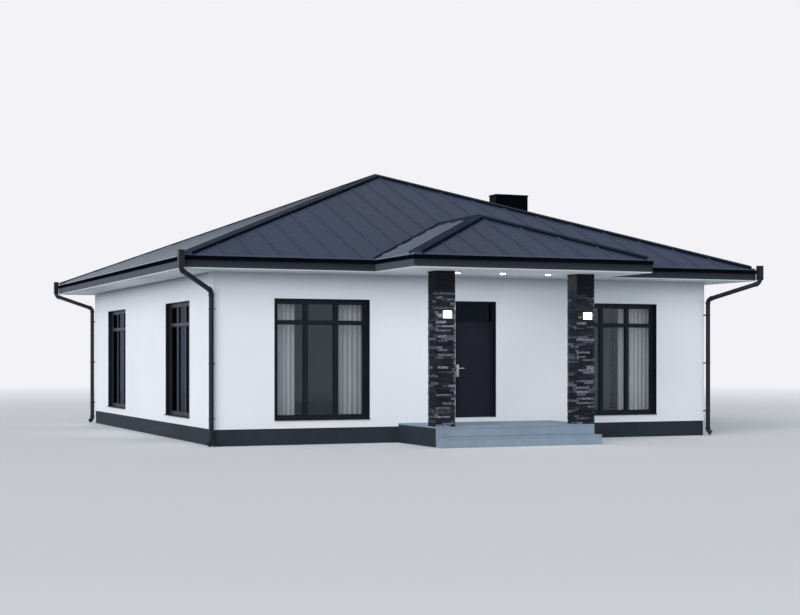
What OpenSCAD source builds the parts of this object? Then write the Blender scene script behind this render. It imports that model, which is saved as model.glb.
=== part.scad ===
// Single-storey house with a hipped seam-metal roof and a hipped entrance porch.
// X runs from the left side to the right side, Y from the front to the back, Z up.
// The origin is at ground level, under the middle of the whole outline in plan.

/* [House] */
// Width of the house over its walls
house_w = 11650; // [9600:50:14000]
// Depth of the house over its walls
house_d = 11900; // [9600:50:14400]
// Thickness of the outer walls
wall_t = 400; // [300:10:500]
// Height of the dark base above the ground
plinth_h = 340; // [200:10:600]
// Set-back of the base behind the wall face
plinth_setback = 20; // [5:5:40]
// Height of the finished floor above the ground
floor_z = 500; // [400:10:700]
// Height of the wall top and of the eave underside above the ground
wall_top_z = 3525; // [3300:5:4200]
// Thickness of the ceiling slab
ceiling_t = 200; // [120:10:300]

/* [Roof] */
// Slope of all roof faces, degrees
roof_pitch = 21; // [15:0.5:30]
// Distance from the wall face to the fascia face
eave_out = 830; // [600:10:1200]
// Vertical thickness of the roof build-up
roof_t = 220; // [120:10:300]
// Height of the eave's face, from its underside up to the gutter
fascia_h = 165; // [120:5:240]
// Height of the gutter
gutter_h = 80; // [60:5:120]
// Width of the gutter
gutter_w = 115; // [80:5:150]
// Distance between two standing seams
seam_pitch = 580; // [400:10:700]
// Height of a standing seam
seam_h = 25; // [20:1:40]
// Width of a standing seam
seam_w = 10; // [8:1:25]
// Width of a hip or ridge cap, measured in plan
cap_w = 300; // [200:10:400]
// Height of a hip or ridge cap above the seams
cap_t = 22; // [10:1:40]
// Distance in plan from an eave corner to the square end of a hip cap
cap_end = 100; // [40:10:300]
// Width of a valley sheet, measured in plan
valley_w = 120; // [80:10:200]

/* [Windows] */
// Width of a window opening
window_w = 2090; // [1400:10:2300]
// Height of a window opening
window_h = 2500; // [1800:10:2600]
// Height of the window heads above the ground
head_z = 3000; // [2700:10:3300]
// Distance from a corner of the house to a front or back window
front_window_in = 1280; // [900:10:1600]
// Distance from the front corner to the first side window
side_window_front = 1860; // [900:10:2200]
// Distance from the back corner to the second side window
side_window_back = 1740; // [900:10:2200]
// Depth of the outer reveals
reveal = 100; // [60:5:160]
// Depth of the window frames
frame_d = 80; // [60:5:100]
// Number of lights across a window
lights = 3; // [2:1:4]
// Face width of the frames and mullions
frame_w = 100; // [60:5:120]
// Height of the transom bars
transom_t = 76; // [50:1:100]
// Height from the window head down to the transom bar
toplight_h = 448; // [300:2:600]
// Thickness of the dark lining in the reveals
lining_t = 12; // [6:1:20]
// Thickness of a pane of glass
glass_t = 24; // [16:1:40]

/* [Door] */
// Width of the doorway in the wall
door_w = 970; // [880:10:1100]
// Face width of the door frame
door_frame_w = 55; // [40:1:80]
// Thickness of the door leaf
leaf_t = 60; // [45:1:80]
// Running gap round the door leaf
leaf_gap = 6; // [5:1:12]
// Height of the door handle above the floor
handle_h = 1060; // [950:10:1150]
// Length of the door lever
lever_l = 130; // [100:5:160]

/* [Porch] */
// Width of the porch platform
porch_w = 3610; // [2800:10:4200]
// Distance from the wall to the platform's front
porch_out = 1950; // [1500:10:2600]
// Height of the platform above the ground
porch_z = 410; // [300:10:480]
// Depth of the step in front of the platform
tread = 300; // [250:10:400]
// Side of a square porch column
column_w = 420; // [300:10:500]
// Half width of the porch roof to its fascia face
porch_half = 2660; // [2300:10:3000]
// Distance from the wall to the porch roof's front fascia face
porch_eave = 2820; // [2500:10:3400]
// Radius of a porch ceiling light
spot_r = 45; // [30:1:70]

/* [Details] */
// Width of the chimney, left to right
chimney_w = 920; // [500:10:1200]
// Depth of the chimney, front to back
chimney_d = 400; // [350:10:800]
// Distance from the centre line to the chimney's centre
chimney_x = 3800; // [2500:50:4500]
// Height of the chimney top above the ground
chimney_top = 6030; // [5800:10:7200]
// Outer radius of the downpipes
pipe_r = 50; // [35:1:60]
// Clear distance from a downpipe to the corner of the walls, measured along X and Y
pipe_off = 62; // [56:1:90]
// Height of the wall lamps' centre above the ground
lamp_z = 2650; // [2200:10:2900]
// Height of the window handles above the floor
window_handle_h = 1040; // [900:10:1200]
// Side of a wall lamp
lamp_w = 150; // [80:5:200]
// Distance that a wall lamp stands out from its column
lamp_out = 130; // [60:5:160]

/* [Curtains] */
// Thickness of a hanging curtain with its folds
curtain_t = 90; // [60:5:140]
// Distance that a left curtain covers, from the edge of its window
curtain_left = 600; // [300:10:900]
// Distance that the first right curtain covers, from the edge of its window
curtain_right = 545; // [300:5:900]
// Distance that the second right curtain covers, from the edge of its window
curtain_wide = 730; // [300:10:900]
// Distance that the curtains reach over the wall beside a window
curtain_over = 220; // [100:10:300]

/* [Hidden] */

// Clearance between sloping or mitred faces that bear on each other
seat = 0.3;

// Eave: the box under the roof edge, from the fascia's face inwards.
gutter_wall = 4;
board_t = 25;
soffit_t = 20;
soffit_in = 3;
gutter_proud = 15;
gutter_play = 5;
roof_edge_t = 27;
edge_in = 5;
edge_out = eave_out - edge_in;
gutter_out = eave_out + gutter_proud;
fascia_d = gutter_w - gutter_proud + board_t;
hopper_half = 58;
hopper_lap = 10;
hopper_off = gutter_out + hopper_half - hopper_lap;

// Plan: the walls' outer faces, set so that the whole outline is centred on the origin.
half_w = house_w / 2;
house_y = (porch_eave + gutter_proud - hopper_off - hopper_half) / 2;
front_y = house_y - house_d / 2;
rear_y = house_y + house_d / 2;

// Roof heights
gutter_z = wall_top_z + fascia_h;
gutter_top = gutter_z + gutter_h;
roof_base_z = gutter_top + gutter_play;
edge_z = roof_base_z + roof_edge_t;
slope = tan(roof_pitch);

// Main roof: a square-ended hip, with a short ridge along the longer side.
edge_x = half_w + edge_out;
edge_y = house_d / 2 + edge_out;
run = min(edge_x, edge_y);
ridge_x = edge_x - run;
ridge_y = edge_y - run;
ridge_z = edge_z + run * slope;

// Porch roof: same slope and edge height, its ridge runs back into the main roof.
porch_edge = porch_half - edge_in;
porch_edge_y = front_y - porch_eave + edge_in;
main_edge_y = front_y - edge_out;
porch_apex_y = porch_edge_y + porch_edge;
porch_ridge_z = edge_z + porch_edge * slope;
valley_t = 6;
valley_clear = valley_w / sqrt(2) + seam_w;
cap_top = seam_h + cap_t;
cap_reach = cap_top / slope + seam_w;
hip_end = cap_end / sqrt(2);

// Windows: each side wall has one nearer the front and one nearer the back.
sill_z = head_z - window_h;
side_window_1_y = front_y + side_window_front + window_w / 2;
side_window_2_y = rear_y - side_window_back - window_w / 2;
front_window_x = half_w - front_window_in - window_w / 2;
transom_top = head_z - toplight_h;
sash_step = 12;
sash_step_d = 10;
sill_t = 18;
sill_nose = 35;
light_w = (window_w - (lights + 1) * frame_w) / lights;
light_rows = [[frame_w, transom_top - transom_t - sill_z], [transom_top - sill_z, window_h - frame_w]];

// Door: the leaf lies behind a stop and swings into the house on its right edge.
stop_d = 20;
stop_lap = 14;
jamb_x = door_w / 2 - door_frame_w;
leaf_half = jamb_x - leaf_gap;
leaf_y = front_y + reveal + stop_d + leaf_gap;
leaf_z = floor_z + leaf_gap + 2;
leaf_top = transom_top - transom_t - leaf_gap;
barrel_r = 9;
barrel_h = 55;
hinge_x = leaf_half + leaf_gap / 2;
hinge_y = leaf_y + leaf_t + barrel_r;
hinge_heights = [0.12, 0.5, 0.88];
hinge_plate_w = 45;
hinge_plate_t = 4;
hinge_play = 1;

// Handles: a plate, a short round neck and a lever.
plate_w = 58;
plate_t = 8;
plate_up = 76;
plate_down = 183;
handle_in = 50;
neck_r = 10;
neck_l = 48;
lever_t = 16;
lever_w = 18;
small_plate_w = 30;
small_plate_h = 70;
small_lever_l = 120;
small_neck_l = 30;

// Porch columns and lights
paving_t = 30;
column_x = porch_w / 2 - column_w / 2;
column_y = front_y - porch_out + column_w / 2;
step_z = porch_z / 2;
spot_out = 1300;
spot_y = front_y - spot_out;
spot_pitch = 1050;
spot_t = 24;
lamp_plate_t = 18;
lamp_rim = 4;

// Downpipes: out of the gutter's corner, back to the wall corner, down to a shoe.
hopper_top = edge_z + 70;
hopper_low = wall_top_z + 25;
pipe_bend_r = 110;
pipe_bend_z = wall_top_z + 40;
pipe_fall = 17;
pipe_shoe_z = 165;
socket_h = 50;
socket_t = 7;
pipe_play = 5;
shoe_turn = 60;
bracket_zs = [550, 1650, 2750];
bracket_h = 30;
bracket_t = 5;
bracket_foot = 30;

// Chimney lid and the collar round the stack
cap_lid_t = 40;
cap_lid_out = 12;
collar_w = 90;
collar_h = 120;

// Curtains hang inside the room from a track on the ceiling.
curtain_back = 40;
curtain_y = front_y + wall_t + curtain_back;
curtain_gap = 15;
track_h = 25;
track_w = 40;

// Thickness of the strip of wall at the roof's rim
upstand_w = 140;

// A large size for cuts that run right through, and a small one for cuts that overrun a face.
far = 20000;
eps = 1;

// A block between two opposite corners.
module block(low, high) {
    translate(low) cube([high[0] - low[0], high[1] - low[1], high[2] - low[2]]);
}

// A rectangular ring round the house, between two distances out from the wall faces.
module ring(inner, outer, z0, z1) {
    translate([0, house_y, z0]) linear_extrude(height = z1 - z0) difference() {
        square([house_w + 2 * outer, house_d + 2 * outer], center = true);
        square([house_w + 2 * inner, house_d + 2 * inner], center = true);
    }
}

// Drops a point that repeats the one before it.
function trimmed(points) = [for (i = [0 : len(points) - 1])
    if (i == 0 || norm(points[i] - points[max(i - 1, 0)]) > eps) points[i]];

// A bar along X whose cross-section is given as [y, z] points.
module along_x(points, from, to) {
    translate([from, 0, 0]) rotate([90, 0, 90]) linear_extrude(height = to - from) polygon(points);
}

// Turns a face drawn as the front one to its own side: 0 front, 1 right, 2 rear, 3 left.
module main_side(side) {
    translate([0, house_y, 0]) rotate([0, 0, side * 90]) children();
}

module porch_side(side) {
    translate([0, porch_apex_y, 0]) rotate([0, 0, side * 90]) children();
}

// Cross-section of a roof face: sloped above, level under the eave.
function roof_profile(reach, face_run) = [
    [-reach, edge_z],
    [-reach, roof_base_z],
    [-reach + (roof_base_z + roof_t - edge_z) / slope, roof_base_z],
    [-reach + face_run, edge_z + face_run * slope - roof_t],
    [-reach + face_run, edge_z + face_run * slope]];

// One standing seam at x, from a distance up the slope to another.
module seam(reach, x, from, to) {
    if (to - from > cap_w)
        along_x([[from - reach, edge_z + from * slope - eps], [to - reach, edge_z + to * slope - eps],
                 [to - reach, edge_z + to * slope + seam_h], [from - reach, edge_z + from * slope + seam_h]],
                x - seam_w / 2, x + seam_w / 2);
}

// Where a seam stops short of the ridge cap or of the hip cap.
function seam_stop(to_ridge, to_hip) =
    min(to_ridge - cap_w / 2, to_hip - cap_w / sqrt(2)) - seam_w / 2 - seat;

// Reach from the middle of the house to an eave, and half that eave's length.
function reach_of(side) = side % 2 == 0 ? edge_y : edge_x;
function half_of(side) = side % 2 == 0 ? edge_x : edge_y;

// Where a seam starts: at the eave, or clear of the porch roof's valley and ridge cap.
function start_of(side, x) = side != 0 ? 0
    : max(0, porch_edge - abs(x) + (abs(x) < cap_w / 2 + seam_w ? cap_reach : valley_clear));

module main_face(side) {
    reach = reach_of(side);
    half = half_of(side);
    top = half - run;
    intersection() {
        main_side(side) along_x(roof_profile(reach, run), -half, half);
        main_side(side) linear_extrude(height = ridge_z + roof_t)
            polygon(trimmed([[-half, -reach], [half, -reach], [top, run - reach], [-top, run - reach]]));
    }
}

module main_seams(side) {
    half = half_of(side);
    count = floor((half - cap_w) / seam_pitch);
    main_side(side) for (i = [-count : count])
        seam(reach_of(side), i * seam_pitch, start_of(side, i * seam_pitch),
             seam_stop(run, half - abs(i * seam_pitch)));
}

// Everything under the main roof's surface raised by dz.
module under_main_roof(dz) {
    low = edge_z + dz - far * slope;
    intersection() {
        main_side(0) along_x(trimmed([[-edge_y - far, low], [edge_y + far, low],
            [ridge_y, ridge_z + dz], [-ridge_y, ridge_z + dz]]), -far, far);
        main_side(1) along_x(trimmed([[-edge_x - far, low], [edge_x + far, low],
            [ridge_x, ridge_z + dz], [-ridge_x, ridge_z + dz]]), -far, far);
    }
}

// The main roof from its front edge back, which the porch roof stands on.
module main_roof_body(dz) {
    intersection() {
        under_main_roof(dz);
        block([-far, main_edge_y, 0], [far, far, far]);
    }
}

// Everything under the porch roof's surface raised by dz.
module under_porch_roof(dz) {
    low = edge_z + dz - far * slope;
    intersection() {
        porch_side(1) along_x([[-porch_edge - far, low], [porch_edge + far, low],
                               [0, porch_ridge_z + dz]], -far, far);
        porch_side(0) along_x([[-porch_edge - far, low], [far, low],
                               [far, porch_ridge_z + far * slope + dz]], -far, far);
    }
}

module porch_face(side, plan) {
    difference() {
        intersection() {
            porch_side(side) along_x(roof_profile(porch_edge, porch_edge), -far, far);
            translate([0, porch_apex_y, 0]) linear_extrude(height = far) polygon(plan);
        }
        main_roof_body(seat);
    }
}

// Seams of a porch side face, from the eave or the valley to the hip or the ridge.
module porch_side_seams(side) {
    back = main_edge_y - porch_apex_y;
    turn = side == 1 ? 1 : -1;
    last = floor((back + porch_edge - cap_w) / seam_pitch);
    first = -floor((porch_edge - cap_w) / seam_pitch);
    porch_side(side) for (i = [first : last]) {
        y = i * seam_pitch;
        seam(porch_edge, turn * y, max(0, y - back + valley_clear), seam_stop(porch_edge, porch_edge + y));
    }
}

// A strip in plan from one point to another, for a cap or a valley.
module plan_strip(from, to, width) {
    along = to - from;
    translate(from) rotate([0, 0, atan2(along[1], along[0])])
        translate([0, -width / 2, 0]) cube([norm(along), width, far]);
}

module foundation() color("#3b4048") {
    inset = plinth_setback;
    block([-half_w + inset, front_y + inset, 0], [half_w - inset, rear_y - inset, plinth_h]);
}

module floor_slab() color("#9a9690")
    block([-half_w + wall_t, front_y + wall_t, plinth_h], [half_w - wall_t, rear_y - wall_t, floor_z]);

// Cuts a window opening through a wall that faces the front or the back.
module front_opening(x, y) {
    block([x - window_w / 2, y - eps, sill_z], [x + window_w / 2, y + wall_t + eps, head_z]);
}

// A wall with one window that stands along X, with its front face at y.
module long_wall(from, to, y, window_x) {
    difference() {
        block([from, y, plinth_h], [to, y + wall_t, wall_top_z]);
        front_opening(window_x, y);
    }
}

module front_wall_left() color("#eef0f3") long_wall(-half_w, -door_w / 2, front_y, -front_window_x);

module front_wall_right() color("#eef0f3") long_wall(door_w / 2, half_w, front_y, front_window_x);

module front_wall_over_door() color("#eef0f3")
    block([-door_w / 2, front_y, head_z], [door_w / 2, front_y + wall_t, wall_top_z]);

module side_wall(from) {
    difference() {
        block([from, front_y + wall_t, plinth_h], [from + wall_t, rear_y - wall_t, wall_top_z]);
        for (y = [side_window_1_y, side_window_2_y])
            block([from - eps, y - window_w / 2, sill_z], [from + wall_t + eps, y + window_w / 2, head_z]);
    }
}

module left_wall() color("#eef0f3") side_wall(-half_w);

module right_wall() color("#eef0f3") side_wall(half_w - wall_t);

module rear_wall_left() color("#eef0f3") long_wall(-half_w, 0, rear_y - wall_t, -front_window_x);

module rear_wall_right() color("#eef0f3") long_wall(0, half_w, rear_y - wall_t, front_window_x);

// Ceiling slab with the upstand that carries the roof.
module ceiling() color("#d8d8d6") {
    block([-half_w, front_y, wall_top_z], [half_w, rear_y, wall_top_z + ceiling_t]);
    intersection() {
        ring(-upstand_w, 0, wall_top_z + ceiling_t - eps, ridge_z);
        under_main_roof(-roof_t - seat);
    }
}

module roof_front() color("#4a505c") {
    main_face(0);
    main_seams(0);
}

module roof_rear() color("#4a505c") {
    main_face(2);
    main_seams(2);
}

module roof_left() color("#4a505c") {
    main_face(3);
    main_seams(3);
}

module roof_right() color("#4a505c") {
    difference() {
        main_face(1);
        chimney_column(0);
    }
    difference() {
        main_seams(1);
        chimney_column(collar_w + seam_w);
    }
}

// Folded caps over the hips and the ridge, down to the sheets between the seams.
module hip_caps() color("#262a32") intersection() {
    difference() {
        under_main_roof(cap_top);
        under_main_roof(seat);
    }
    main_side(0) {
        hip = run - hip_end;
        if (ridge_x + ridge_y > eps) plan_strip([-ridge_x, -ridge_y], [ridge_x, ridge_y], cap_w);
        for (sx = [-1, 1], sy = [-1, 1])
            plan_strip([sx * ridge_x, sy * ridge_y], [sx * (ridge_x + hip), sy * (ridge_y + hip)], cap_w);
    }
}

module porch_roof_front() color("#4a505c") {
    porch_face(0, [[-porch_edge, -porch_edge], [porch_edge, -porch_edge], [0, 0]]);
    count = floor((porch_edge - cap_w) / seam_pitch);
    porch_side(0) for (i = [-count : count])
        seam(porch_edge, i * seam_pitch, 0, seam_stop(porch_edge, porch_edge - abs(i * seam_pitch)));
}

module porch_roof_side(side) {
    back = main_edge_y - porch_apex_y;
    s = side == 1 ? 1 : -1;
    porch_face(side, [[s * porch_edge, -porch_edge], [0, 0], [0, back + porch_edge], [s * porch_edge, back]]);
    porch_side_seams(side);
}

module porch_roof_left() color("#4a505c") porch_roof_side(3);

module porch_roof_right() color("#4a505c") porch_roof_side(1);

module porch_hip_caps() color("#262a32") difference() {
    intersection() {
        difference() {
            under_porch_roof(cap_top);
            under_porch_roof(seat);
        }
        translate([0, porch_apex_y, 0]) {
            hip = porch_edge - hip_end;
            plan_strip([0, 0], [-hip, -hip], cap_w);
            plan_strip([0, 0], [hip, -hip], cap_w);
            plan_strip([0, 0], [0, porch_edge * 2], cap_w);
        }
    }
    main_roof_body(seat);
}

// Sheets in the two valleys of the porch roof.
module valley(side) {
    intersection() {
        difference() {
            union() {
                main_roof_body(valley_t);
                under_porch_roof(valley_t);
            }
            main_roof_body(seat);
            under_porch_roof(seat);
        }
        plan_strip([side * porch_edge, main_edge_y], [0, main_edge_y + porch_edge], valley_w);
        translate([side * (cap_w / 2 + seat + far / 2), 0, far / 2]) cube(far, center = true);
    }
}

// The part of a roof sheet raised by dz that lies between two distances from the stack.
module collar_ring(out, dz) {
    difference() {
        intersection() {
            chimney_column(out);
            under_main_roof(dz);
        }
        chimney_column(seat);
        under_main_roof(seat);
    }
}

module flashings() color("#262a32") {
    valley(-1);
    valley(1);
    collar_ring(collar_w, valley_t);
    collar_ring(valley_t, collar_h);
}

// The soffits run out under the fascia, so that their light edge shows below it.
module soffits() color("#dfe2e6")
    ring(0, eave_out - soffit_in, wall_top_z, wall_top_z + soffit_t);

module porch_ceiling() color("#dfe2e6") difference() {
    block([-porch_half + soffit_in, front_y - porch_eave + soffit_in, wall_top_z],
          [porch_half - soffit_in, front_y - eave_out + soffit_in, wall_top_z + soffit_t]);
    for (i = [-1 : 1])
        translate([i * spot_pitch, spot_y, wall_top_z - eps])
            cylinder(r = spot_r, h = soffit_t + 2 * eps, $fn = 48);
}

// A board of the eave in cross-section, between two distances in from the fascia's face.
function board(reach, out, in, low, high) =
    [[out - reach, low], [in - reach, low], [in - reach, high], [out - reach, high]];

// Fascia in cross-section: front board, the ledge that carries the gutter, the board behind it.
function fascia_boards(reach) = [
    board(reach, 0, board_t, wall_top_z + soffit_t + seat, gutter_z),
    board(reach, board_t + seat, fascia_d, gutter_z - soffit_t, gutter_z),
    board(reach, fascia_d - board_t, fascia_d, gutter_z + seat, roof_base_z)];

// A straight piece of fascia along X. An end is mitred where its share is 1 and square where it is 0.
module fascia_run(reach, from, to, mitre_from, mitre_to) {
    for (shape = fascia_boards(reach)) intersection() {
        along_x(shape, from, to);
        linear_extrude(height = far)
            polygon([[from, -reach], [to, -reach], [to - mitre_to * fascia_d, -reach + fascia_d],
                     [from + mitre_from * fascia_d, -reach + fascia_d]]);
    }
}

module fascia() color("#2c3038") {
    x = half_w + eave_out;
    y = house_d / 2 + eave_out;
    main_side(0) fascia_run(y, -x + seat, -porch_half, 1, 0);
    main_side(0) fascia_run(y, porch_half, x - seat, 0, 1);
    main_side(2) fascia_run(y, -x + seat, x - seat, 1, 1);
    for (side = [1, 3]) main_side(side) fascia_run(x, -y + seat, y - seat, 1, 1);
}

module porch_fascia() color("#2c3038") {
    back = front_y - eave_out + board_t - porch_apex_y;
    porch_side(0) fascia_run(porch_half, -porch_half + seat, porch_half - seat, 1, 1);
    porch_side(1) fascia_run(porch_half, -porch_half + seat, back, 1, 0);
    porch_side(3) fascia_run(porch_half, -back, porch_half - seat, 0, 1);
}

// A straight trough along X with closed ends.
module gutter_run(reach, from, to) {
    difference() {
        block([from, -reach, gutter_z], [to, -reach + gutter_w, gutter_top]);
        block([from + gutter_wall, -reach + gutter_wall, gutter_z + gutter_wall],
              [to - gutter_wall, -reach + gutter_w - gutter_wall, gutter_top + eps]);
    }
}

// Front and rear troughs run through the corners, into a pocket of each hopper.
module gutters() color("#1c1f24") {
    x = half_w + gutter_out;
    y = house_d / 2 + gutter_out;
    gap = porch_half + gutter_proud + seat;
    main_side(0) gutter_run(y, -x, -gap);
    main_side(0) gutter_run(y, gap, x);
    main_side(2) gutter_run(y, -x, x);
    for (side = [1, 3]) main_side(side) gutter_run(x, -y + gutter_w + seat, y - gutter_w - seat);
}

module porch_gutter() color("#1c1f24") {
    reach = porch_half + gutter_proud;
    back = front_y - gutter_out + gutter_w - porch_apex_y;
    porch_side(0) gutter_run(reach, -reach, reach);
    porch_side(1) gutter_run(reach, -reach + gutter_w + seat, back);
    porch_side(3) gutter_run(reach, -back, reach - gutter_w - seat);
}

// Sets a piece outside each corner of the walls, turned so that X runs out along the diagonal.
module at_corners(off) {
    for (sx = [-1, 1], sy = [-1, 1])
        translate([sx * (half_w + off), house_y + sy * (house_d / 2 + off), 0])
            rotate([0, 0, atan2(sy, sx)]) children();
}

// The square box that the downpipe hangs from, with a pocket for the corner of the gutter.
module hopper() {
    h = hopper_half;
    pocket = hopper_lap + seat - h;
    rotate([0, 0, 45]) difference() {
        block([-h, -h, hopper_low], [h, h, hopper_top]);
        block([-h - eps, -pocket, gutter_z - seat], [pocket, h + eps, gutter_top + seat]);
    }
}

// A bend of a pipe in the XZ plane, about a centre, from one angle through a turn, with a
// socket at each end that the straight pipes run into.
module pipe_bend(x, z, from, turn) {
    translate([x, 0, z]) rotate([90, 0, 0]) {
        rotate([0, 0, from]) rotate_extrude(angle = turn, $fn = 48)
            translate([pipe_bend_r, 0]) circle(r = pipe_r, $fn = 32);
        for (angle = [from, from + turn])
            rotate([0, 0, angle]) translate([pipe_bend_r, socket_h / 2, 0]) rotate([90, 0, 0])
                cylinder(r = pipe_r + socket_t, h = socket_h, $fn = 32);
    }
}

// A straight pipe that ends inside the sockets.
module pipe(x, z, tilt, length, below = pipe_play, above = pipe_play) {
    translate([x, 0, z]) rotate([0, tilt, 0]) translate([0, 0, below])
        cylinder(r = pipe_r, h = length - below - above, $fn = 32);
}

// X runs out from the wall along the corner's diagonal, Z is the true height.
module downpipe() {
    turn = 90 - pipe_fall;
    out = sqrt(2) * (hopper_off - pipe_off);
    length = (out - 2 * pipe_bend_r * (1 - cos(turn))) / sin(turn);
    low = pipe_bend_z - 2 * pipe_bend_r * sin(turn) - length * cos(turn);
    translate([out, 0, 0]) hopper();
    pipe(out, pipe_bend_z, 0, hopper_low + hopper_half - pipe_bend_z, above = 0);
    pipe_bend(out - pipe_bend_r, pipe_bend_z, -turn, turn);
    pipe(pipe_bend_r * (1 - cos(turn)), low + pipe_bend_r * sin(turn), turn, length);
    pipe_bend(pipe_bend_r, low, 180 - turn, turn);
    pipe(0, pipe_shoe_z, 0, low - pipe_shoe_z);
    pipe_bend(pipe_bend_r, pipe_shoe_z, 180, shoe_turn);
}

module downpipes() color("#2a2e35") at_corners(pipe_off) downpipe();

// A ring round the pipe on a stem, with an angle that is fixed over the corner of the walls.
module pipe_bracket() {
    inner = pipe_r + seat;
    stem = sqrt(2) * pipe_off;
    difference() {
        union() {
            cylinder(r = inner + bracket_t, h = bracket_h, $fn = 48);
            block([-stem - eps, -bracket_t, 0], [0, bracket_t, bracket_h]);
        }
        translate([0, 0, -eps]) cylinder(r = inner, h = bracket_h + 2 * eps, $fn = 48);
        translate([-stem, 0, -eps]) rotate([0, 0, 135]) cube([bracket_foot, bracket_foot, bracket_h + 2 * eps]);
    }
    translate([-stem, 0, 0]) rotate([0, 0, -45]) difference() {
        block([-bracket_foot, -bracket_foot, 0], [bracket_t, bracket_t, bracket_h]);
        block([-bracket_foot - eps, -bracket_foot - eps, -eps], [0, 0, bracket_h + eps]);
    }
}

module pipe_brackets() color("#2a2e35")
    for (z = bracket_zs) translate([0, 0, z]) at_corners(pipe_off) pipe_bracket();

module porch_platform() color("#3b4048")
    block([-porch_w / 2, front_y - porch_out + paving_t, 0], [porch_w / 2, front_y, porch_z - paving_t]);

// Paving over the platform, turned down over its front.
module porch_paving() color("#a9b0ba") {
    block([-porch_w / 2, front_y - porch_out, porch_z - paving_t], [porch_w / 2, front_y, porch_z]);
    block([-porch_w / 2, front_y - porch_out, 0],
          [porch_w / 2, front_y - porch_out + paving_t, porch_z - paving_t + eps]);
}

module porch_step() color("#a9b0ba")
    block([-porch_w / 2, front_y - porch_out - tread, 0], [porch_w / 2, front_y - porch_out, step_z]);

module column(x) {
    block([x - column_w / 2, column_y - column_w / 2, porch_z],
          [x + column_w / 2, column_y + column_w / 2, wall_top_z]);
}

module column_left() color("#24262b") column(-column_x);

module column_right() color("#24262b") column(column_x);

// Door frame with the transom bar and the stop that the leaf closes against.
module door_frame() color("#22252b") {
    y0 = front_y + reveal;
    y1 = leaf_y + leaf_t;
    difference() {
        block([-door_w / 2, y0, floor_z], [door_w / 2, y1, head_z]);
        block([-jamb_x, y0 + stop_d, floor_z - eps], [jamb_x, y1 + eps, transom_top - transom_t]);
        block([-leaf_half + stop_lap, y0 - eps, floor_z - eps],
              [leaf_half - stop_lap, y1, transom_top - transom_t - stop_lap - leaf_gap]);
        block([-jamb_x, y0 - eps, transom_top], [jamb_x, y1 + eps, head_z - door_frame_w]);
    }
    for (share = hinge_heights)
        translate([hinge_x, hinge_y, leaf_z + share * (leaf_top - leaf_z) - barrel_h - hinge_play])
            hinge_half(1);
}

// Half of a lift-off hinge: its barrel and the plate that fixes it to one side.
module hinge_half(side) {
    cylinder(r = barrel_r, h = barrel_h, $fn = 32);
    if (side > 0) block([0, -barrel_r, 0], [hinge_plate_w, -barrel_r + hinge_plate_t, barrel_h]);
    if (side < 0) block([-hinge_plate_w, -barrel_r, 0], [0, -barrel_r + hinge_plate_t, barrel_h]);
}

module door_transom_glass() color("#5b6672")
    block([-jamb_x, front_y + reveal + frame_d / 2 - glass_t / 2, transom_top],
          [jamb_x, front_y + reveal + frame_d / 2 + glass_t / 2, head_z - door_frame_w]);

module door_leaf() color("#24272e") {
    block([-leaf_half, leaf_y, leaf_z], [leaf_half, leaf_y + leaf_t, leaf_top]);
    for (share = hinge_heights)
        translate([hinge_x, hinge_y, leaf_z + share * (leaf_top - leaf_z) + hinge_play]) hinge_half(-1);
}

// A long plate with a lever, on each face of the leaf.
module door_handles() color("#b9bcc2") {
    x = handle_in - leaf_half;
    for (side = [0, 1])
        translate([x, leaf_y + side * leaf_t, floor_z + handle_h]) mirror([0, side == 0 ? 1 : 0, 0]) {
            block([-plate_w / 2, 0, -plate_down], [plate_w / 2, plate_t, plate_up]);
            translate([0, plate_t - eps, 0]) rotate([-90, 0, 0]) cylinder(r = neck_r, h = neck_l, $fn = 32);
            block([-neck_r, neck_l - eps, -lever_w / 2], [lever_l, neck_l + lever_t, lever_w / 2]);
        }
}

module door_threshold() color("#d7d9dc")
    block([-door_w / 2, front_y, plinth_h], [door_w / 2, front_y + wall_t, floor_z]);

// Left edge of one light of a window.
function light_x(i) = -window_w / 2 + frame_w + i * (light_w + frame_w);

// A window frame in its opening: X across, Y into the wall from its outer face, Z from the sill.
module window_frame() {
    difference() {
        block([-window_w / 2, reveal, 0], [window_w / 2, reveal + frame_d, window_h]);
        for (i = [0 : lights - 1], row = light_rows) {
            x = light_x(i);
            block([x, reveal - eps, row[0]], [x + light_w, reveal + frame_d + eps, row[1]]);
            block([x - sash_step, reveal - eps, row[0] - sash_step],
                  [x + light_w + sash_step, reveal + sash_step_d, row[1] + sash_step]);
        }
    }
}

// Dark sheet over both jambs and the head of an outer reveal.
module reveal_lining(width, low, high) {
    difference() {
        block([-width / 2, 0, low], [width / 2, reveal, high]);
        block([-width / 2 + lining_t, -eps, low - eps], [width / 2 - lining_t, reveal + eps, high - lining_t]);
    }
}

module window_panes() {
    for (i = [0 : lights - 1], row = light_rows)
        block([light_x(i), reveal + frame_d / 2 - glass_t / 2, row[0]],
              [light_x(i) + light_w, reveal + frame_d / 2 + glass_t / 2, row[1]]);
}

// A turning handle on the room side of the first mullion.
module window_handle()
    translate([light_x(1) - frame_w / 2, reveal + frame_d, floor_z + window_handle_h - sill_z]) {
        block([-small_plate_w / 2, 0, -small_plate_h / 2], [small_plate_w / 2, plate_t, small_plate_h / 2]);
        block([-lever_w / 2, plate_t - eps, -lever_w / 2], [lever_w / 2, small_neck_l, lever_w / 2]);
        block([-lever_w / 2, small_neck_l, -small_lever_l],
              [lever_w / 2, small_neck_l + lever_t, lever_w / 2]);
    }

module window_sill()
    block([-window_w / 2, -sill_nose, 0], [window_w / 2, reveal, sill_t]);

// Sets a piece of a window into each opening of a wall: 0 front, 1 right, 2 rear, 3 left.
module in_front_wall() {
    for (x = [-front_window_x, front_window_x]) translate([x, front_y, sill_z]) children();
}

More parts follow.
